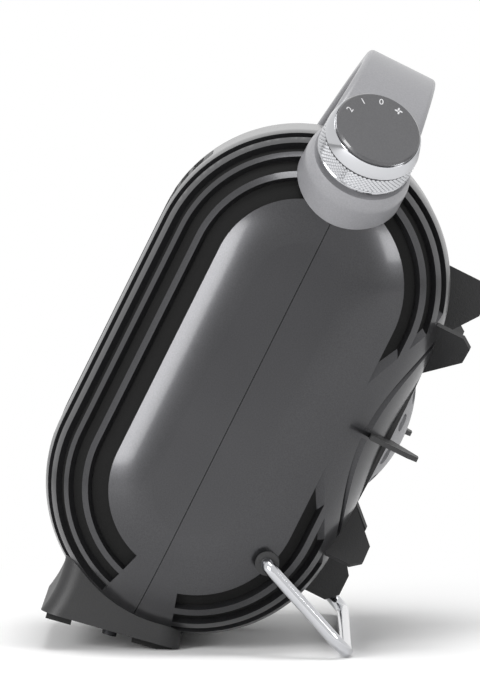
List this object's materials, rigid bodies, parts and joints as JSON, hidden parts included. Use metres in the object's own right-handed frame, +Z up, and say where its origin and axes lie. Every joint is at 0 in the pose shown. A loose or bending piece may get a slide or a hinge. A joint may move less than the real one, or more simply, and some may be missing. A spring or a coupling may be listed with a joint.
{
  "type": "ceramic fan heater",
  "caption": "Oval fan heater that leans back on a hinged wire stand, with grooved flanks, a turning knob, a carrying strap and wall fins.",
  "frame": {"origin": "middle of the rear foot pad's bevel, where it meets the floor when the heater leans back on its stand", "axes": "+Z up, +Y to the rear (the air inlet), -Y the way the hot air leaves, +X the knob's side"},
  "size_m": [0.2128, 0.2073, 0.2745],
  "materials": {
    "shell": "satin grey moulded plastic",
    "grille": "dark moulded plastic",
    "trim": "mid grey moulded plastic",
    "black": "black moulded plastic",
    "chrome": "polished",
    "cap": "smooth dark grey",
    "dome": "mid grey moulded plastic",
    "pads": "matt",
    "steel": "plain",
    "lamination": "varnished",
    "copper": "enamelled wire",
    "ceramic": "ceramic, matt",
    "aluminium": "plain",
    "nylon": "heat resistant plastic",
    "bronze": "sintered"
  },
  "bodies": {
    "casing": {"front_shell": "shell", "rear_shell": "shell", "front_liner_right": "grille", "front_liner_left": "grille", "rear_liner": "grille", "wall_fins": "grille", "front_grille": "grille", "rear_grille": "grille", "rear_dome": "dome", "foot": "black", "base_plate": "black", "foot_pads": "pads", "base_screws": "steel", "stand_bushes": "black", "knob_collar": "trim", "rotary_switch": "nylon", "switch_bracket": "steel", "handle": "trim", "air_duct": "grille", "fan_shroud": "black", "motor_rear_bracket": "steel", "motor_front_bracket": "steel", "motor_bushes": "bronze", "motor_stator": "lamination", "motor_coil": "copper", "motor_bolts": "steel", "element_frame": "nylon", "ceramic_bars": "ceramic", "radiator_fins": "aluminium", "element_terminals": "steel", "thermal_cutout": "black", "tip_over_switch": "black", "terminal_block": "nylon", "cord_gland": "black", "case_screws": "steel"},
    "stand": {"stand": "chrome"},
    "knob": {"knob_ring": "chrome", "knob_cap": "cap", "knob_shaft": "steel"},
    "fan": {"fan_impeller": "nylon", "motor_rotor": "aluminium", "motor_shaft": "steel"}
  },
  "joints": [
    {"name": "stand_hinge", "type": "hinge", "parent": "casing", "child": "stand", "pos_m": [0, 0.04766, 0.04321], "axis": [-1, 0, 0], "range_deg": [0, 80]},
    {"name": "knob_turn", "type": "hinge", "parent": "casing", "child": "knob", "pos_m": [0.04719, 0.07385, 0.19324], "axis": [0.7193, 0.31, 0.6217], "range_deg": [-68, 32]},
    {"name": "fan_spin", "type": "hinge", "parent": "casing", "child": "fan", "pos_m": [0, 0.04085, 0.12706], "axis": [0, 0.8949, -0.4462], "continuous": true}
  ]
}
